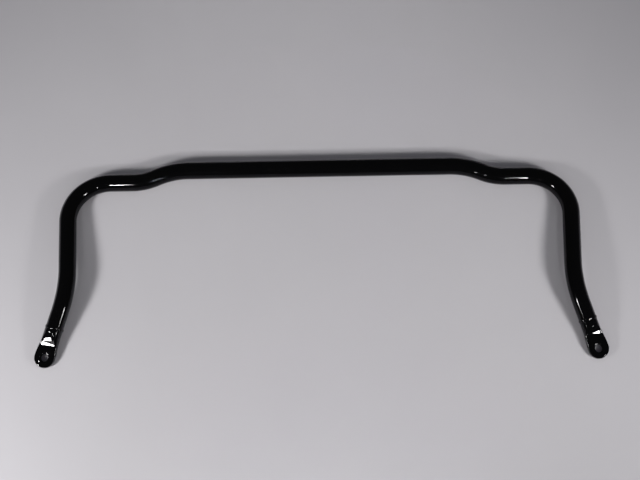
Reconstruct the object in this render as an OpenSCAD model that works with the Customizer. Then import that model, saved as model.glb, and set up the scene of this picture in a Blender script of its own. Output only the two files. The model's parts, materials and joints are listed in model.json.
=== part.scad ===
// Tubular sway bar lying as it rests on a flat surface.
// X runs along the bar, +Y points from the eyes to the centre section, +Z is up.
// The bar touches the ground along its centre section and at the front of both eyes.

/* [Tube] */
// Outside diameter of the tube
bar_d = 31.75; // [28:0.05:34]
// Wall thickness of the tube
wall = 4.75; // [3.5:0.25:6]
// How far each surface of the wall draws in where the tube is bent
bend_thinning = 0.05; // [0.02:0.01:0.1]

/* [Centre section] */
// Distance from the middle of the bar to the start corner of the joggle
joggle_x = 270; // [200:5:275]
// Length of the joggle along the bar
joggle_run = 50; // [50:1:70]
// How far the joggle brings the bushing seats towards the eyes
joggle_y = 22; // [10:1:22]
// Centreline radius of the joggle's inner bend
joggle_r_in = 150; // [80:5:150]
// Centreline radius of the joggle's outer bend
joggle_r_out = 100; // [60:5:100]

/* [Arms] */
// Half the distance between the corners where the seats turn into the arms
corner_x = 460; // [450:1:500]
// Centreline radius of the corner bends
corner_r = 75; // [55:1:80]
// Distance from the eyes back to the bushing seats
reach = 329; // [290:1:400]
// Half the distance between the kinks in the arms
kink_x = 450; // [440:1:470]
// Distance from the eyes back to the kinks
kink_y = 116; // [110:1:130]
// Height of the tube's centre at the kinks
kink_z = 39.5; // [20:0.5:60]
// Centreline radius of the kinks
kink_r = 150; // [40:5:150]
// Half the distance between the two holes
eye_x = 490; // [470:1:510]

/* [Forged eyes] */
// Width of the flat, which is also the diameter of its round end
eye_d = 37; // [34:0.5:42]
// Thickness of the flat
eye_t = 12; // [9:0.5:16]
// Diameter of the link hole
hole_d = 14.5; // [8:0.25:18]
// Chamfer at both mouths of the link hole
hole_chamfer = 1.2; // [0.5:0.1:2]
// Chamfer around the edge of the flat
edge_chamfer = 2; // [0.5:0.25:3]
// Distance from the hole back to the foot of the ramp
flat_l = 25; // [24:1:30]
// Length of the ramp between the flat and the round neck
ramp_l = 12; // [8:1:16]
// Distance from the hole back to the welded seam
seam_l = 55; // [52:1:65]
// Length of the spigot inside the tube
spigot_l = 22; // [10:1:30]
// Radial gap between the spigot and the tube
spigot_gap = 0.1; // [0.05:0.05:0.3]

/* [Welds] */
// Width of the weld bead at the surface of the tube
weld_w = 7; // [5:0.5:9]
// Width of the weld at its root
weld_root = 2; // [1:0.5:3]
// Height of the bead above the tube
weld_h = 1.2; // [0.5:0.1:2]
// Thickness of the square land left at the tube's bore
weld_land = 1.25; // [0.5:0.25:2]

/* [Hidden] */
$fn = 96;
paint = "#101113";
bar_r = bar_d / 2;
bore_r = bar_r - wall;
spigot_r = bore_r - spigot_gap;
bend_lap = 0.5;
up = [0, 0, 1];

// Height of the eyes' centres, so that their front edges touch the ground.
// The tilt of the last stretch settles in three passes, each closer than the one before.
function eye_rise(tilt) = (eye_d / 2 - edge_chamfer) * sin(tilt) + (eye_t / 2) * cos(tilt);
function eye_tilt(rise) = atan((kink_z - rise) / norm([eye_x - kink_x, kink_y]));
eye_z = eye_rise(eye_tilt(eye_rise(eye_tilt(eye_rise(12)))));

// How far the eyes reach in front of their centres, and the offset that centres the part on Y
eye_dir = unit([eye_x - kink_x, -kink_y, eye_z - kink_z]);
eye_up = unit(up - (up * eye_dir) * eye_dir);
eye_front = eye_d / 2 * sqrt(1 - pow(eye_up.y, 2)) + (eye_t / 2 - edge_chamfer) * abs(eye_up.y);
mid_y = (reach + joggle_y + bar_r - eye_front) / 2;

// Corners of the right half's centreline, from the middle of the bar to the eye
path = [
    [0, reach + joggle_y - mid_y, bar_r],
    [joggle_x, reach + joggle_y - mid_y, bar_r],
    [joggle_x + joggle_run, reach - mid_y, bar_r],
    [corner_x, reach - mid_y, bar_r],
    [kink_x, kink_y - mid_y, kink_z],
    [eye_x, -mid_y, eye_z]
];
// Centreline radius at each of those corners, 0 at the two ends
radii = [0, joggle_r_in, joggle_r_out, corner_r, kink_r, 0];
last = len(path) - 1;

function unit(v) = v / norm(v);
// Direction of the straight stretch that leaves corner i
function heading(i) = unit(path[i + 1] - path[i]);
// Angle turned at corner i
function turn(i) = acos(heading(i - 1) * heading(i));
// Distance from corner i to the start and the end of its bend
function setback(i) = radii[i] == 0 ? 0 : radii[i] * tan(turn(i) / 2);
// Matrix that carries X, Y and Z onto three square directions at a point
function placement(x, y, z, at) = [
    [x.x, y.x, z.x, at.x],
    [x.y, y.y, z.y, at.y],
    [x.z, y.z, z.z, at.z],
    [0, 0, 0, 1]
];

// Stands its children at a point, with their Z along a direction
module facing(at, dir) {
    side = unit(cross(up, dir));
    multmatrix(placement(cross(side, dir), side, dir, at)) children();
}

// Stands its children on the right eye: X towards the tip, Z square to the flat
module at_eye() {
    multmatrix(placement(eye_dir, cross(eye_up, eye_dir), eye_up, path[last])) children();
}

// Turns a profile of radius and length around the eye's X axis
module around_axis() {
    rotate([0, 90, 0]) rotate_extrude() children();
}

// Cross-section of the tube, with its wall thinned on both sides in the bends
module wall_section(thinned = 0) {
    difference() {
        circle(r = bar_r - thinned);
        circle(r = bore_r + thinned);
    }
}

// Straight stretch of tube that leaves corner i
module straight(i) {
    start = path[i] + setback(i) * heading(i);
    run = norm(path[i + 1] - path[i]) - setback(i) - setback(i + 1);
    facing(start, heading(i)) linear_extrude(run) wall_section();
}

// Bend in the tube at corner i, running a little way into the straights at both ends
module bend(i) {
    start = path[i] - setback(i) * heading(i - 1);
    inward = unit(heading(i) - heading(i - 1));
    centre = path[i] + radii[i] / cos(turn(i) / 2) * inward;
    outward = unit(start - centre);
    lap = asin(bend_lap / radii[i]);
    multmatrix(placement(outward, heading(i - 1), cross(outward, heading(i - 1)), centre))
        rotate([0, 0, -lap]) rotate_extrude(angle = turn(i) + 2 * lap)
            translate([radii[i], 0]) wall_section(bend_thinning);
}

// Last stretch of tube, bevelled for the weld where it ends
module welded_end() {
    run = norm(path[last] - path[last - 1]) - setback(last - 1) - seam_l;
    facing(path[last - 1] + setback(last - 1) * heading(last - 1), heading(last - 1))
        rotate_extrude() polygon([
            [bore_r, 0],
            [bar_r, 0],
            [bar_r, run - weld_w / 2],
            [bore_r + weld_land, run - weld_root / 2],
            [bore_r, run - weld_root / 2]
        ]);
}

// Right half of the tube
module half_bar() {
    color(paint) union() {
        for (i = [0 : last - 2]) straight(i);
        for (i = [1 : last - 1]) bend(i);
        welded_end();
    }
}

// Neck and spigot of the eye, as radius against distance back from the hole
module neck() {
    around_axis() polygon([
        [0, -seam_l - spigot_l],
        [spigot_r - 1, -seam_l - spigot_l],
        [spigot_r, -seam_l - spigot_l + 1],
        [spigot_r, -seam_l + weld_root / 2],
        [bore_r + weld_land, -seam_l + weld_root / 2],
        [bar_r, -seam_l + weld_w / 2],
        [bar_r, -flat_l - ramp_l],
        [0, -flat_l - ramp_l]
    ]);
}

// Half of the flat's cross-section, from its middle out to the chamfered edge
module flat_section() {
    half_w = eye_d / 2;
    half_t = eye_t / 2;
    polygon([
        [0, -half_t],
        [half_w - edge_chamfer, -half_t],
        [half_w, -half_t + edge_chamfer],
        [half_w, half_t - edge_chamfer],
        [half_w - edge_chamfer, half_t],
        [0, half_t]
    ]);
}

// Both halves of the flat's cross-section, drawn back from the hole
module flat_run(run) {
    rotate([90, 0, -90]) linear_extrude(run) {
        flat_section();
        mirror([1, 0]) flat_section();
    }
}

// Ramp from the round neck down to the flat
module ramp() {
    hull() {
        translate([-flat_l - ramp_l, 0, 0]) rotate([0, 90, 0]) cylinder(r = bar_r, h = 0.5);
        translate([-flat_l, 0, 0]) flat_run(0.5);
    }
}

module link_hole() {
    cylinder(d = hole_d, h = 2 * eye_t, center = true);
    for (side = [-1, 1]) scale([1, 1, side])
        translate([0, 0, eye_t / 2 - hole_chamfer])
            cylinder(r1 = hole_d / 2, r2 = hole_d / 2 + 2 * hole_chamfer, h = 2 * hole_chamfer);
}

// Forged eye of the right half
module forged_eye() {
    color(paint) at_eye() difference() {
        union() {
            neck();
            ramp();
            flat_run(flat_l);
            rotate_extrude() flat_section();
        }
        link_hole();
    }
}

// Weld bead of the right half: it fills the groove and stands proud of the tube
module weld_bead() {
    crown_r = (pow(weld_w / 2, 2) + pow(weld_h, 2)) / (2 * weld_h);
    crown_angle = asin(weld_w / 2 / crown_r);
    crown_steps = 8;
    crown = [
        for (k = [0 : crown_steps])
            let (a = crown_angle * (1 - 2 * k / crown_steps))
                [bar_r + weld_h - crown_r + crown_r * cos(a), -seam_l + crown_r * sin(a)]
    ];
    color(paint) at_eye() around_axis() polygon(concat(
        [
            [spigot_r, -seam_l + weld_root / 2],
            [bore_r + weld_land, -seam_l + weld_root / 2]
        ],
        crown,
        [
            [bore_r + weld_land, -seam_l - weld_root / 2],
            [spigot_r, -seam_l - weld_root / 2]
        ]
    ));
}

module bar_right() {
    half_bar();
}

module bar_left() {
    mirror([1, 0, 0]) half_bar();
}

module eye_right() {
    forged_eye();
}

module eye_left() {
    mirror([1, 0, 0]) forged_eye();
}

module weld_right() {
    weld_bead();
}

module weld_left() {
    mirror([1, 0, 0]) weld_bead();
}

bar_left();
bar_right();
eye_left();
eye_right();
weld_left();
weld_right();
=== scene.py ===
"""Looks of the tubular sway bar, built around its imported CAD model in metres, in the CAD frame.

X runs across the vehicle, the arms point to -Y and Z is up. The pieces are one bent, hollow tube, and at
each end of it a forged eye and the weld bead that joins the two.
"""

import json
from math import cos, pi, radians, sin, sqrt, tan
from typing import NamedTuple

import bpy
from mathutils import Matrix, Vector, noise


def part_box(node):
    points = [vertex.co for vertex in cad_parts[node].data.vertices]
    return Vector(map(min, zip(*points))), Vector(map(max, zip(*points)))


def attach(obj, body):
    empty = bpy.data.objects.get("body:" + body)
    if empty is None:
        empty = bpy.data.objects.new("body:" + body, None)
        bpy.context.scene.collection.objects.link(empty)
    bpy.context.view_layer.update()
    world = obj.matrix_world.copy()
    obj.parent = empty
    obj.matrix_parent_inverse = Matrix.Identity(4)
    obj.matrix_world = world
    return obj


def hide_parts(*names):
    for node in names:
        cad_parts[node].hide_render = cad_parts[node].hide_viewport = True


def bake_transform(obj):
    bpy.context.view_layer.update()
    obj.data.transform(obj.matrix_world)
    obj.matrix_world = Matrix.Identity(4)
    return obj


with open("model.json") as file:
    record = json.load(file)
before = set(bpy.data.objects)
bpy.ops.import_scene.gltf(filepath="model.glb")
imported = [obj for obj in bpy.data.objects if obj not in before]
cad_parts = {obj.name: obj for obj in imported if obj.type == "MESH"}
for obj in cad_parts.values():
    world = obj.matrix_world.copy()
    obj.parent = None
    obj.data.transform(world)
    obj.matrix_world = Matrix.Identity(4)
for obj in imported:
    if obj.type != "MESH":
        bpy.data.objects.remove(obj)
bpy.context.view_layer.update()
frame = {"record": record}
MOUNTS = {mount["name"]: mount for mount in frame["record"]["mounts"]}
MM = 0.001
UP = Vector((0, 0, 1))

# ---------------------------------------------------------------- sizes shared with the CAD model
TUBE_R = MOUNTS["bushing_seat_right"]["dims"]["r_mm"] * MM
WALL = 4.75 * MM
BORE_R = TUBE_R - WALL
SEAT = Vector(MOUNTS["bushing_seat_right"]["pos_m"])
HOLE = Vector(MOUNTS["link_hole_right"]["pos_m"])
HOLE_R = MOUNTS["link_hole_right"]["dims"]["r_mm"] * MM

# Corners of the right half's centreline, before the bends round them
JOGGLE_X = 270 * MM  # the joggle's start, on the centre section's axis
JOGGLE_RUN = 50 * MM  # its length along X, to the bushing seat's axis
CORNER_X = 460 * MM  # the corner between seat and arm
KINK_X = 450 * MM  # the arm's kink
KINK_BACK = 116 * MM  # how far the kink is behind the hole
KINK_Z = 39.5 * MM
BEND_RADII = (150 * MM, 100 * MM, 75 * MM, 150 * MM)  # joggle's start and end, corner, kink

# The eye and its weld, measured back from the hole along the arm
EYE_R = 18.5 * MM  # half the width of the flat, and the radius of its tip
EYE_T = 12 * MM
SEAM_BACK = 55 * MM
SPIGOT = 22 * MM
SPIGOT_CLEARANCE = 0.1 * MM
SPIGOT_R = BORE_R - SPIGOT_CLEARANCE
SPIGOT_BEVEL = 1 * MM
WELD_W = 7 * MM
WELD_H = 1.2 * MM
WELD_LAND = 1.25 * MM  # height above the bore of the groove's narrow root
ROOT_W = 2 * MM  # width of that root
NECK_END = SEAM_BACK - WELD_W / 2  # where the neck goes under the weld


# ---------------------------------------------------------------- mesh helpers
def new_object(name, points, faces, material, sharp_angle=35):
    """A mesh object with smooth shading, except across edges sharper than sharp_angle degrees."""
    mesh = bpy.data.meshes.new(name)
    mesh.from_pydata([tuple(p) for p in points], [], faces)
    mesh.validate()
    mesh.materials.append(material)
    mesh.polygons.foreach_set("use_smooth", [True] * len(mesh.polygons))
    mesh.set_sharp_from_angle(angle=radians(sharp_angle))
    obj = bpy.data.objects.new(name, mesh)
    bpy.context.scene.collection.objects.link(obj)
    return obj


def add_ring(points, ring):
    """Add a ring's points to a mesh's points. Returns their numbers."""
    first = len(points)
    points.extend(ring)
    return list(range(first, len(points)))


def quads_between(rings, closed=True):
    """Quads that join each ring of point numbers to the next. Rows that are no rings aren't closed."""
    faces = []
    for near, far in zip(rings, rings[1:]):
        count = len(near)
        for i in range(count if closed else count - 1):
            j = (i + 1) % count
            faces.append((near[i], near[j], far[j], far[i]))
    return faces


def smoothstep(low, high, x):
    """0 below low, 1 above high, and a smooth rise between."""
    t = min(max((x - low) / (high - low), 0), 1)
    return t * t * (3 - 2 * t)


def smooth_min(a, b, k):
    """The smaller of a and b, with the corner between them rounded over a width k."""
    return min(a, b) - max(k - abs(a - b), 0) ** 2 / (4 * k)


def soft_ramp(x, softness):
    """x where it is positive, 0 where it is negative, with a round corner between."""
    return (x + sqrt(x * x + softness * softness)) / 2


def mirrored(vector):
    """The vector's mirror image in the bar's middle plane."""
    return Vector((-vector.x, vector.y, vector.z))


# ---------------------------------------------------------------- the tube's centreline
STRAIGHT_STEP = 5 * MM
BEND_STEP = 2 * MM
LEAST_STEPS = 2  # on the shortest straight
BEND_EASE = 0.3  # share of a bend over which its flattening comes, and goes again


class Station(NamedTuple):
    """A place on the centreline."""

    place: Vector
    tangent: Vector
    bend: Vector  # points to the inside of a bend; its length is 0 at the ends and 1 in the middle


def right_corners():
    """Corners of the right half's centreline, from the middle of the bar to the hole."""
    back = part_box("bar_right")[1][1] - TUBE_R
    return [
        Vector((0, back, TUBE_R)),
        Vector((JOGGLE_X, back, TUBE_R)),
        Vector((JOGGLE_X + JOGGLE_RUN, SEAT.y, TUBE_R)),
        Vector((CORNER_X, SEAT.y, TUBE_R)),
        Vector((KINK_X, HOLE.y + KINK_BACK, KINK_Z)),
        HOLE.copy(),
    ]


def bend_setback(radius, heading, next_heading):
    """Distance along either straight from a corner to its bend."""
    return radius * tan(heading.angle(next_heading) / 2)


def straight_stations(start, end, heading):
    """Stations along a straight, without the last one."""
    length = (end - start).length
    count = max(int(length / STRAIGHT_STEP), LEAST_STEPS)
    return [Station(start + heading * (length * k / count), heading, Vector()) for k in range(count)]


def bend_stations(corner, radius, heading, next_heading):
    """Stations along the bend that rounds a corner, without the last one."""
    turn = heading.angle(next_heading)
    inward = (next_heading - heading).normalized()
    centre = corner + inward * (radius / cos(turn / 2))
    axis = heading.cross(next_heading).normalized()
    arm = corner - heading * bend_setback(radius, heading, next_heading) - centre
    count = int(radius * turn / BEND_STEP)
    stations = []
    for k in range(count):
        turned = Matrix.Rotation(turn * k / count, 3, axis)
        place = centre + turned @ arm
        depth = smoothstep(0, BEND_EASE, k / count) * smoothstep(0, BEND_EASE, 1 - k / count)
        stations.append(Station(place, turned @ heading, (centre - place).normalized() * depth))
    return stations


def right_centreline():
    """Stations along the right half, from the middle of the bar to the seam."""
    corners = right_corners()
    headings = [(b - a).normalized() for a, b in zip(corners, corners[1:])]
    start = corners[0]
    stations = []
    for corner, radius, heading, next_heading in zip(corners[1:], BEND_RADII, headings, headings[1:]):
        setback = bend_setback(radius, heading, next_heading)
        stations += straight_stations(start, corner - heading * setback, heading)
        stations += bend_stations(corner, radius, heading, next_heading)
        start = corner + next_heading * setback
    seam = corners[-1] - headings[-1] * SEAM_BACK
    stations += straight_stations(start, seam, headings[-1])
    stations.append(Station(seam, headings[-1], Vector()))
    return stations


def whole_centreline():
    """Stations along the whole tube, from the left seam to the right one."""
    right = right_centreline()
    left = []
    for station in reversed(right[1:]):
        place, tangent, bend = (mirrored(vector) for vector in station)
        left.append(Station(place, -tangent, bend))
    return left + right


# ---------------------------------------------------------------- materials
COAT_BLACK = (0.0035, 0.0035, 0.0040, 1)
DUST_GREY = (0.16, 0.155, 0.15, 1)
BOARD_DARK = (0.585, 0.575, 0.600, 1)
BOARD_LIGHT = (0.615, 0.605, 0.630, 1)


def new_material(name):
    """A new material, its shader, and short calls that add a node and link two sockets."""
    material = bpy.data.materials.new(name)
    material.use_nodes = True
    tree = material.node_tree

    def add(kind, **inputs):
        node = tree.nodes.new(kind)
        for key, value in inputs.items():
            node.inputs[key.replace("_", " ")].default_value = value
        return node

    return material, tree.nodes["Principled BSDF"], add, tree.links.new


def noise_texture(add, link, where, **settings):
    """A noise in the piece's own coordinates."""
    texture = add("ShaderNodeTexNoise", **settings)
    link(where, texture.inputs["Vector"])
    return texture.outputs["Fac"]


def stretched(add, link, value, low, high, to_low, to_high):
    """A value whose range from low to high is stretched to run from to_low to to_high."""
    spread = add("ShaderNodeMapRange", From_Min=low, From_Max=high, To_Min=to_low, To_Max=to_high)
    link(value, spread.inputs["Value"])
    return spread.outputs["Result"]


def mixed_colour(add, link, factor, first, second):
    """A colour between two others: the first where the factor is 0, the second where it is 1."""
    mix = add("ShaderNodeMix")
    mix.data_type = "RGBA"
    mix.inputs["A"].default_value = first
    mix.inputs["B"].default_value = second
    link(factor, mix.inputs["Factor"])
    return mix.outputs["Result"]


def bumps(add, link, height, distance):
    """A bump node for a height from 0 to 1, where 1 stands for a distance."""
    bump = add("ShaderNodeBump", Strength=1.0, Distance=distance)
    link(height, bump.inputs["Height"])
    return bump


def dusty_black(add, link, where, dust):
    """The coat's colour: black with specks of dust, more of them in some places than in others."""
    grains = noise_texture(add, link, where, Scale=900.0, Detail=3.0, Roughness=0.7)
    places = noise_texture(add, link, where, Scale=14.0, Detail=3.0, Roughness=0.6)
    specks = stretched(add, link, grains, low=0.62, high=0.72, to_low=0.0, to_high=dust)
    patches = stretched(add, link, places, low=0.42, high=0.68, to_low=0.15, to_high=1.0)
    amount = add("ShaderNodeMath")
    amount.operation = "MULTIPLY"
    link(specks, amount.inputs[0])
    link(patches, amount.inputs[1])
    return mixed_colour(add, link, amount.outputs["Value"], COAT_BLACK, DUST_GREY)


def powder_coat(name, peel_height, lump_height, dust):
    """Gloss black powder coat: orange peel, slow lumps under it, fine dust and an uneven gloss."""
    material, shader, add, link = new_material(name)
    where = add("ShaderNodeTexCoord").outputs["Object"]
    link(dusty_black(add, link, where, dust), shader.inputs["Base Color"])

    haze = noise_texture(add, link, where, Scale=45.0, Detail=4.0, Roughness=0.6)
    gloss = stretched(add, link, haze, low=0.3, high=0.75, to_low=0.06, to_high=0.12)
    link(gloss, shader.inputs["Roughness"])

    peel = noise_texture(add, link, where, Scale=420.0, Detail=1.5, Roughness=0.45)
    lumps = noise_texture(add, link, where, Scale=90.0, Detail=1.0, Roughness=0.4)
    lump_bumps = bumps(add, link, lumps, lump_height)
    peel_bumps = bumps(add, link, peel, peel_height)
    link(lump_bumps.outputs["Normal"], peel_bumps.inputs["Normal"])
    link(peel_bumps.outputs["Normal"], shader.inputs["Normal"])
    shader.inputs["IOR"].default_value = 1.5
    shader.inputs["Specular IOR Level"].default_value = 0.4
    return material


def painted_board():
    """The backdrop's pale, slightly violet grey with the faint mottling of painted board."""
    material, shader, add, link = new_material("backdrop")
    where = add("ShaderNodeTexCoord").outputs["Object"]
    mottle = noise_texture(add, link, where, Scale=5.0, Detail=3.0, Roughness=0.5)
    link(mixed_colour(add, link, mottle, BOARD_DARK, BOARD_LIGHT), shader.inputs["Base Color"])
    shader.inputs["Roughness"].default_value = 0.9
    shader.inputs["Specular IOR Level"].default_value = 0.1
    return material


# ---------------------------------------------------------------- the tube
TUBE_SIDES = 72
FLATTENING = 0.015  # how much wider than high a bend's cross-section is, as a share of its diameter
TINY = 1e-9  # stands in for a bend's length on a straight, where it is 0


def tube_spokes(station, side):
    """Spokes around the tube from its centreline, of length 1 where it is round."""
    over = station.tangent.cross(side)
    bend = station.bend
    spokes = []
    for k in range(TUBE_SIDES):
        angle = 2 * pi * k / TUBE_SIDES
        spoke = cos(angle) * side + sin(angle) * over
        oval = FLATTENING * (0.5 * bend.length - spoke.dot(bend) ** 2 / max(bend.length, TINY))
        spokes.append(spoke * (1 + oval))
    return spokes


def tube(material):
    """The whole bent tube from seam to seam, hollow, a little flattened in its bends."""
    path = whole_centreline()
    side = Vector((0, 1, 0))
    points, outer, inner = [], [], []
    for station in path:
        side = (side - side.dot(station.tangent) * station.tangent).normalized()
        spokes = tube_spokes(station, side)
        outer.append(add_ring(points, [station.place + spoke * TUBE_R for spoke in spokes]))
        inner.append(add_ring(points, [station.place + spoke * BORE_R for spoke in spokes]))

    # Groove for the weld: both ends are cut back, more at the outside than at the bore. One more ring,
    # near the bore, keeps the end face nearly square almost down to it.
    lands = []
    for end, outward in ((0, -path[0].tangent), (-1, path[-1].tangent)):
        seam = path[end].place
        for number in outer[end]:
            points[number] -= outward * (WELD_W / 2)
        for number in inner[end]:
            points[number] -= outward * (ROOT_W / 2)
        root = seam - outward * (ROOT_W / 2)
        leaning_spokes = [(points[number] - seam).normalized() for number in outer[end]]
        lands.append(add_ring(points, [root + spoke * (BORE_R + WELD_LAND) for spoke in leaning_spokes]))
    loop = [lands[0]] + outer + [lands[1]] + inner[::-1] + [lands[0]]
    return new_object("tube", points, quads_between(loop), material)


# ---------------------------------------------------------------- the forged eyes
# Distances back run from the hole towards the neck. Distances out run across the eye, away from the
# bar's middle. A pair is a range over which something grows or fades.
ARC_STEPS = 37  # over the top of a cross-section, and again underneath
SIDE_STEPS = 18  # down each side of it
EDGE_ANGLE = radians(31)  # how far up and down the sides reach
RAMP_STEP = 0.4 * MM
NECK_STEP = 1.5 * MM
FLAT_SIDE_STEPS = 10
TIP_STEPS = 48
FACE_STEPS = 16  # from the flat's outline to the hole's rim
MOUTH_STEPS = 5
BORE_STEPS = 4

FLAT_BACK = 16.5 * MM  # where the cross-sections begin, on the flat
RAMP_END = 46 * MM
NARROWING = (2 * MM, 36 * MM)  # back, from the flat's width to the neck's
EDGE_BLEND = 2.5 * MM  # rounding of the edges of flat and ramp
NECK_BLEND = 0.6 * MM  # the same where they run out on the neck
BLEND_CHANGE = (34 * MM, 42 * MM)  # back, from one to the other
MOUTH_R = 2.2 * MM  # rounding of the hole's mouths
RIM_R = HOLE_R + MOUTH_R

WALL_SLOPE = 1.5
SHELF_SLOPE = 0.225  # of the shelf and the land, which catch the light
SHELF_LEAST = 1.3 * MM
CREASE = 0.15 * MM  # softness of the corners from one slope to the next
LAND_START = (-5 * MM, -2 * MM)  # out
LAND_STOP = (8 * MM, 11 * MM)  # out

LUMP_SCALE = 110  # lumps, grain and pits are noise, whose scale is how fast it changes, per metre
LUMP_HEIGHT = 0.07 * MM
GRAIN_SCALE = 260
GRAIN_HEIGHT = 0.018 * MM
PIT_SCALE = 230
PIT_START = 0.12  # the noise at a pit's edge
PIT_DEPTH = 0.8 * MM  # for each 1 of noise above that
PIT_RANGE = (EYE_R - 7 * MM, EYE_R - 4 * MM)  # from the hole's axis, so that the outline stays whole
UNEVEN_START = (-22 * MM, -10 * MM)  # back
UNEVEN_STOP = (46 * MM, 51 * MM)  # back
UNEVEN_RIM = (RIM_R, RIM_R + 3 * MM)  # from the hole's axis
UPWARD = 3  # how much more a point moves up or down than sideways


class Forging(NamedTuple):
    """How the dies left one eye's ramp: a wall at its foot, a shelf, a bank, a land, then the neck.

    A skew is how much the value before it changes with the distance out.
    """

    foot: float  # back
    foot_skew: float
    wall: float  # as a height
    wall_skew: float
    shelf: float  # as a length
    shelf_skew: float
    bank_slope: float
    land_back: float
    land_skew: float
    land: float  # as a length
    neck_slope: float
    seed: float  # of the noise


FORGINGS = {
    "left": Forging(
        foot=21.5 * MM,
        foot_skew=0.08,
        wall=1.1 * MM,
        wall_skew=0.095,
        shelf=4.0 * MM,
        shelf_skew=0.18,
        bank_slope=0.30,
        land_back=31.2 * MM,
        land_skew=0.33,
        land=5.6 * MM,
        neck_slope=0.50,
        seed=3.0,
    ),
    "right": Forging(
        foot=26.1 * MM,
        foot_skew=0.20,
        wall=1.2 * MM,
        wall_skew=0.113,
        shelf=2.2 * MM,
        shelf_skew=0.35,
        bank_slope=0.75,
        land_back=40 * MM,
        land_skew=0,
        land=0,
        neck_slope=0.75,
        seed=11.0,
    ),
}


def ramp_height(back, out, forging):
    """Half thickness that the dies left at a place on the eye."""
    foot = forging.foot - forging.foot_skew * out
    wall = max(0, forging.wall - forging.wall_skew * out)
    shelf_from = foot + wall / (WALL_SLOPE - SHELF_SLOPE)
    shelf_to = shelf_from + max(SHELF_LEAST, forging.shelf + forging.shelf_skew * out)
    land_from = max(shelf_to, forging.land_back - forging.land_skew * out)
    land_share = smoothstep(*LAND_START, out) * (1 - smoothstep(*LAND_STOP, out))
    height = EYE_T / 2
    slope = 0
    for start, next_slope in (
        (foot, WALL_SLOPE),
        (shelf_from, SHELF_SLOPE),
        (shelf_to, forging.bank_slope),
        (land_from, SHELF_SLOPE),
        (land_from + forging.land * land_share, forging.neck_slope),
    ):
        height += (next_slope - slope) * soft_ramp(back - start, CREASE)
        slope = next_slope
    return height


def half_width(back):
    """Half width of the eye: it narrows gently towards the neck."""
    return EYE_R + (TUBE_R - EYE_R) * smoothstep(*NARROWING, back)


def section(back, angle, forging, outboard):
    """Point of the eye's cross-section: a round bar pressed between the dies."""
    blend = EDGE_BLEND + (NECK_BLEND - EDGE_BLEND) * smoothstep(*BLEND_CHANGE, back)
    width = half_width(back)
    across = width * cos(angle)
    height = smooth_min(width * abs(sin(angle)), ramp_height(back, outboard * across, forging), blend)
    return Vector((-back, across, height if sin(angle) >= 0 else -height))


def section_angles():
    """Angles around a cross-section: over the top, down one side, underneath, and up the other side."""
    top = [EDGE_ANGLE + (pi - 2 * EDGE_ANGLE) * k / ARC_STEPS for k in range(ARC_STEPS)]
    side = [pi - EDGE_ANGLE + 2 * EDGE_ANGLE * k / SIDE_STEPS for k in range(SIDE_STEPS)]
    return top + side + [angle + pi for angle in top + side]


def section_backs():
    """Distances back of the cross-sections, from the flat to where the neck goes under the weld."""
    backs = []
    back = FLAT_BACK
    while back < NECK_END:
        backs.append(back)
        back += RAMP_STEP if back < RAMP_END else NECK_STEP
    return backs + [NECK_END]


def flat_stations():
    """Centres and outward directions along the flat's outline: one side, the round tip, the other side."""
    across = Vector((0, 1, 0))
    centres = [Vector((-FLAT_BACK * k / FLAT_SIDE_STEPS, 0, 0)) for k in range(1, FLAT_SIDE_STEPS)]
    turns = [pi * k / TIP_STEPS for k in range(TIP_STEPS + 1)]
    return (
        [(centre, across) for centre in reversed(centres)]
        + [(Vector(), Vector((sin(turn), cos(turn), 0))) for turn in turns]
        + [(centre, -across) for centre in centres]
    )


def hole_profile():
    """Radius and height of the hole's wall, from its top mouth's rim to its bottom mouth's."""
    mouth = []
    for k in range(MOUTH_STEPS + 1):
        turn = pi / 2 * k / MOUTH_STEPS
        mouth.append((RIM_R - MOUTH_R * sin(turn), EYE_T / 2 - MOUTH_R * (1 - cos(turn))))
    wall = [(HOLE_R, (EYE_T / 2 - MOUTH_R) * (1 - 2 * k / BORE_STEPS)) for k in range(1, BORE_STEPS)]
    return mouth + wall + [(radius, -height) for radius, height in reversed(mouth)]


def unevenness(p, seed):
    """How far the forging moved a point: lumps and fine grain, and pits in the flat."""
    radius = Vector((p.x, p.y, 0)).length
    share = smoothstep(*UNEVEN_START, -p.x) * (1 - smoothstep(*UNEVEN_STOP, -p.x))
    share *= smoothstep(*UNEVEN_RIM, radius)
    lump = noise.noise(p * LUMP_SCALE + Vector((seed, 0, 0))) * LUMP_HEIGHT
    grain = noise.noise(p * GRAIN_SCALE + Vector((0, seed, 0))) * GRAIN_HEIGHT
    pit = max(0, noise.noise(p * PIT_SCALE + Vector((seed, 0, seed))) - PIT_START) * PIT_DEPTH
    pit *= 1 - smoothstep(*PIT_RANGE, radius)
    outward = Vector((0, p.y, UPWARD * p.z)).normalized()
    return outward * (lump + grain - pit) * share


def ramp_and_spigot(points, forging, outboard):
    """Rings from the flat along ramp and neck, then the spigot with its closed end.

    Returns the first ring's point numbers and the faces.
    """
    angles = section_angles()
    rings = []
    for back in section_backs():
        rings.append(add_ring(points, [section(back, angle, forging, outboard) for angle in angles]))
    shoulder = SEAM_BACK - ROOT_W / 2
    tail = SEAM_BACK + SPIGOT
    for radius, back in (
        (BORE_R + WELD_LAND, shoulder),
        (SPIGOT_R, shoulder),
        (SPIGOT_R, tail - SPIGOT_BEVEL),
        (SPIGOT_R - SPIGOT_BEVEL, tail),
        (SPIGOT_R / 2, tail),
    ):
        rings.append(add_ring(points, [Vector((-back, radius * cos(a), radius * sin(a))) for a in angles]))
    faces = quads_between(rings)
    middle = len(points)
    points.append(Vector((-tail, 0, 0)))
    last = rings[-1]
    faces += [(last[i - 1], last[i], middle) for i in range(len(last))]
    return rings[0], faces


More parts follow.
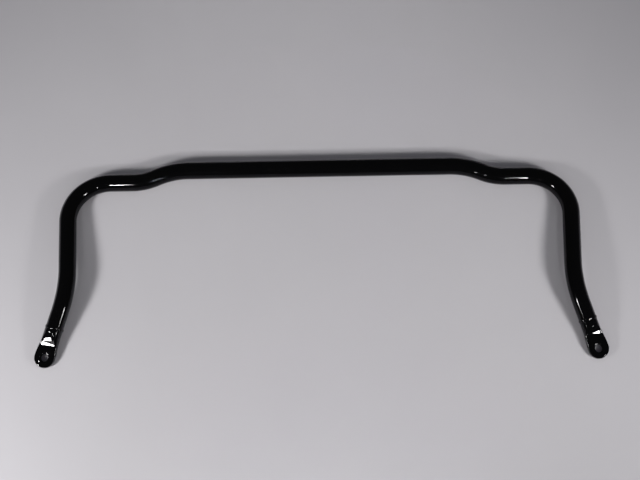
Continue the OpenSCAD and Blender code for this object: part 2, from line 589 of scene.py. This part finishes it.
def flat_and_hole(points, first, forging, outboard):
    """Faces of the flat: its sides, its top and underside, and the hole through it.

    first is the ring of point numbers at its back edge, which it shares with the ramp.
    """
    # Sides: a column of points at each station, between the two sides of the first ring
    profile = [
        section(0, EDGE_ANGLE - 2 * EDGE_ANGLE * k / SIDE_STEPS, forging, outboard)
        for k in range(SIDE_STEPS + 1)
    ]
    columns = [[first[-k] for k in range(SIDE_STEPS + 1)]]
    for centre, out in flat_stations():
        narrow = half_width(-centre.x) / EYE_R
        columns.append(add_ring(points, [centre + out * p.y * narrow + UP * p.z for p in profile]))
    columns.append([first[ARC_STEPS + k] for k in range(SIDE_STEPS + 1)])
    faces = quads_between(columns, closed=False)

    # Top, hole and underside: loops around the hole's axis, with their points in the same directions
    underneath = ARC_STEPS + SIDE_STEPS
    top = [column[0] for column in columns] + [first[ARC_STEPS - k] for k in range(1, ARC_STEPS)]
    bottom = [column[-1] for column in columns] + [first[underneath + k] for k in range(1, ARC_STEPS)]
    reaches = [Vector((points[number].x, points[number].y, 0)) for number in top]
    directions = [reach.normalized() for reach in reaches]

    def face_loop(step, height):
        """A loop on the top or underside, step of FACE_STEPS on the way from the outline to the rim."""
        loop = []
        for reach, direction in zip(reaches, directions):
            radius = reach.length + (RIM_R - reach.length) * step / FACE_STEPS
            loop.append(direction * radius + UP * height)
        return add_ring(points, loop)

    loops = [top]
    loops += [face_loop(step, EYE_T / 2) for step in range(1, FACE_STEPS)]
    for radius, height in hole_profile():
        loops.append(add_ring(points, [direction * radius + UP * height for direction in directions]))
    loops += [face_loop(step, -EYE_T / 2) for step in range(FACE_STEPS - 1, 0, -1)]
    loops.append(bottom)
    return faces + quads_between(loops)


def forged_eye(name, hole, toward_tip, up, material, forging):
    """Spigot, neck, ramp and pierced flat of one eye, as one closed mesh."""
    side = up.cross(toward_tip)
    outboard = 1 if side.x * hole.x > 0 else -1
    points = []
    first, faces = ramp_and_spigot(points, forging, outboard)
    faces += flat_and_hole(points, first, forging, outboard)
    outward_faces = [face[::-1] for face in faces]
    axes = Matrix((toward_tip, side, up)).transposed()
    placed = [hole + axes @ (p + unevenness(p, forging.seed)) for p in points]
    return new_object(name, placed, outward_faces, material)


# ---------------------------------------------------------------- the welds
WELD_RIPPLES = 44  # around the seam
RIPPLE_STEPS = 6
CROWN_STEPS = 14  # across the bead
WAVE_SCALE = 2.2  # how fast the bead's size changes around the seam
DRIFT_SCALE = 1.5  # how fast it wanders off the seam, and how far
DRIFT = 0.5 * MM
DRIFT_SEED = 9
WIDTH_CHANGE = 0.05  # of WELD_W, for each 1 of wave
CHEVRON = 0.45  # how far a ripple's edges are from its middle, in ripples
SPACING_CHANGE = 0.2  # in ripples
RIPPLE_SHARPNESS = 1.6
CROWN_SHAPE = 2.4  # higher is flatter on top
CROWN_LIFT = 0.55  # of WELD_H, and what wave and ripples add to it
WAVE_LIFT = 0.18
RIPPLE_LIFT = 0.18
MIDDLE_LIFT = 0.12 * MM
EDGE_SINK = 0.15 * MM  # how deep under the tube's surface the bead's edges are
WELD_SHARP_ANGLE = 50


def weld_bead(name, hole, toward_tip, up, material, seed):
    """Bead around the seam with the ripples of its passes, filling the groove down to its root."""
    side = up.cross(toward_tip)
    seam = hole - toward_tip * SEAM_BACK
    count = WELD_RIPPLES * RIPPLE_STEPS
    root = BORE_R + WELD_LAND
    groove = [(root, -ROOT_W / 2), (SPIGOT_R, -ROOT_W / 2), (SPIGOT_R, ROOT_W / 2), (root, ROOT_W / 2)]
    rows = []
    points = []
    for k in range(count):
        angle = 2 * pi * k / count
        around = Vector((cos(angle), sin(angle), 0))
        wave = noise.noise(around * WAVE_SCALE + UP * seed)
        drift = DRIFT * noise.noise(around * DRIFT_SCALE + UP * (seed + DRIFT_SEED))
        reach = WELD_W * (0.5 + WIDTH_CHANGE * wave)
        crown = []
        for j in range(CROWN_STEPS + 1):
            u = 1 - 2 * j / CROWN_STEPS
            phase = k / RIPPLE_STEPS + CHEVRON * u * u + SPACING_CHANGE * wave
            ripple = (phase % 1.0) ** RIPPLE_SHARPNESS
            dome = 1 - abs(u) ** CROWN_SHAPE
            lift = WELD_H * dome * (CROWN_LIFT + WAVE_LIFT * wave + RIPPLE_LIFT * ripple)
            lift += MIDDLE_LIFT * (1 - abs(u))
            crown.append((TUBE_R - EDGE_SINK + lift, u * reach + drift))
        spoke = cos(angle) * side + sin(angle) * up
        row = [seam + toward_tip * along + spoke * radius for radius, along in crown + groove]
        rows.append(add_ring(points, row))
    return new_object(name, points, quads_between(rows + rows[:1]), material, WELD_SHARP_ANGLE)


# ---------------------------------------------------------------- camera and lights
CAMERA_TARGET = Vector((0.0007, 0.0426, 0))
CAMERA_DISTANCE = 2.942
CAMERA_ELEVATION = radians(70)
CAMERA_AZIMUTH = radians(-1.53)
CAMERA_ROLL = radians(-2.445)
CAMERA_LENS = 90.9
SENSOR_WIDTH = 36

LIGHT_COLOUR = (1.0, 0.985, 0.985)
SKY_COLOUR = (1.0, 1.0, 1.05, 1)
SKY_STRENGTH = 0.15
COMBINED_CURVE = 3  # after those of red, green and blue
BLACK_TOE = ((0.02, 0.008), (0.05, 0.042), (0.09, 0.09))  # tones and what they become
FLOOR_REACH = 4.0


def place_camera():
    """The camera that matches the photo, looking down at the bar from in front."""
    forward = Vector((
        sin(CAMERA_AZIMUTH) * cos(CAMERA_ELEVATION),
        cos(CAMERA_AZIMUTH) * cos(CAMERA_ELEVATION),
        -sin(CAMERA_ELEVATION),
    ))
    level = Vector((cos(CAMERA_AZIMUTH), -sin(CAMERA_AZIMUTH), 0))
    over = level.cross(forward)
    right = cos(CAMERA_ROLL) * level + sin(CAMERA_ROLL) * over
    above = cos(CAMERA_ROLL) * over - sin(CAMERA_ROLL) * level
    data = bpy.data.cameras.new("camera")
    data.lens = CAMERA_LENS
    data.sensor_width = SENSOR_WIDTH
    data.dof.use_dof = False
    camera = bpy.data.objects.new("camera", data)
    where = CAMERA_TARGET - forward * CAMERA_DISTANCE
    turned = Matrix((right, above, -forward)).transposed().to_4x4()
    camera.matrix_world = Matrix.Translation(where) @ turned
    bpy.context.scene.collection.objects.link(camera)
    bpy.context.scene.camera = camera


def soft_light(name, place, target, size, watts, spread, on_surfaces=True, in_reflections=True):
    """A square light with a beam that is spread degrees wide."""
    data = bpy.data.lights.new(name, "AREA")
    data.shape = "SQUARE"
    data.size = size
    data.energy = watts
    data.spread = radians(spread)
    data.color = LIGHT_COLOUR
    light = bpy.data.objects.new(name, data)
    light.location = place
    light.rotation_euler = (Vector(target) - Vector(place)).to_track_quat("-Z", "Y").to_euler()
    light.visible_diffuse = on_surfaces
    light.visible_glossy = in_reflections
    bpy.context.scene.collection.objects.link(light)


def deepen_blacks(view):
    """A toe in the picture's tone curve, as a camera's has: only the deepest tones go darker."""
    view.view_transform = "Standard"
    view.use_curve_mapping = True
    for tone, becomes in BLACK_TOE:
        view.curve_mapping.curves[COMBINED_CURVE].points.new(tone, becomes)
    view.curve_mapping.update()


def light_the_scene():
    """Lights for the floor and its shadows, smaller ones for the highlights, and a weak sky."""
    left = {"target": (-0.91, -0.46, 0), "spread": 76}
    right = {"target": (0.49, -0.07, 0), "spread": 62}
    floor_light = {"size": 0.40, "in_reflections": False}
    glint = {"size": 0.24, "on_surfaces": False}
    seat = {"size": 0.08, "spread": 24}
    soft_light("light_left", place=(-1.57, -1.04, 1.31), watts=7.6, **left, **floor_light)
    soft_light("light_right", place=(1.45, -1.07, 1.28), watts=2.7, **right, **floor_light)
    soft_light(
        "fill_light", place=(0, -2.3, 2.2), target=(0, -0.84, 0),
        size=0.5, watts=1.1, spread=24, in_reflections=False,
    )
    soft_light("glint_left", place=(-1.55, -0.96, 1.30), watts=7.5, **left, **glint)
    soft_light("glint_right", place=(1.43, -0.95, 1.26), watts=2.6, **right, **glint)
    soft_light("seat_light_left", place=(-0.79, -2.35, 2.05), target=(-0.12, 0.75, 0), watts=0.26, **seat)
    soft_light("seat_light_right", place=(0.76, -2.30, 2.05), target=(0.05, 0.56, 0), watts=0.24, **seat)
    world = bpy.data.worlds.new("world")
    world.use_nodes = True
    sky = world.node_tree.nodes["Background"]
    sky.inputs["Color"].default_value = SKY_COLOUR
    sky.inputs["Strength"].default_value = SKY_STRENGTH
    bpy.context.scene.world = world
    deepen_blacks(bpy.context.scene.view_settings)


def floor(material):
    """The sheet of board that the bar lies on, which isn't part of the object."""
    signs = ((-1, -1), (1, -1), (1, 1), (-1, 1))
    corners = [Vector((x * FLOOR_REACH, y * FLOOR_REACH, 0)) for x, y in signs]
    sheet = new_object("floor", corners, [(0, 1, 2, 3)], material)


def eye_place(hand):
    """One hole's centre, the direction from there to the eye's tip, and up out of its flat."""
    mount = MOUNTS[f"link_hole_{hand}"]
    hole = Vector(mount["pos_m"])
    up = Vector(mount["axis"]).normalized()
    kink = right_corners()[-2]
    if hand == "left":
        kink = mirrored(kink)
    toward_tip = (hole - kink).normalized()
    return hole, toward_tip, (up - up.dot(toward_tip) * toward_tip).normalized()


def build():
    """The bar's pieces, in place of the CAD nodes they stand for, which are hidden; each eye and weld bead
    is tied to its half's body. Then the floor, the lights and the camera.
    """
    tube_paint = powder_coat("tube_paint", peel_height=0.009 * MM, lump_height=0.02 * MM, dust=0.5)
    eye_paint = powder_coat("eye_paint", peel_height=0.010 * MM, lump_height=0.05 * MM, dust=0.5)
    weld_paint = powder_coat("weld_paint", peel_height=0.010 * MM, lump_height=0.05 * MM, dust=0.6)

    # The CAD's two halves meet at the middle. The one tube turns smoothly between them instead.
    bar = tube(tube_paint)
    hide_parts("bar_left", "bar_right")
    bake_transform(bar)

    for hand, forging in FORGINGS.items():
        place = eye_place(hand)
        eye = forged_eye(f"forged_eye_{hand}", *place, eye_paint, forging)
        bead = weld_bead(f"weld_bead_{hand}", *place, weld_paint, forging.seed)
        for piece, node, slot in ((eye, "eye", "eye_paint"), (bead, "weld", "weld_paint")):
            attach(piece, f"{hand}_half")
            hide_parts(f"{node}_{hand}")

    floor(painted_board())
    light_the_scene()
    place_camera()


build()
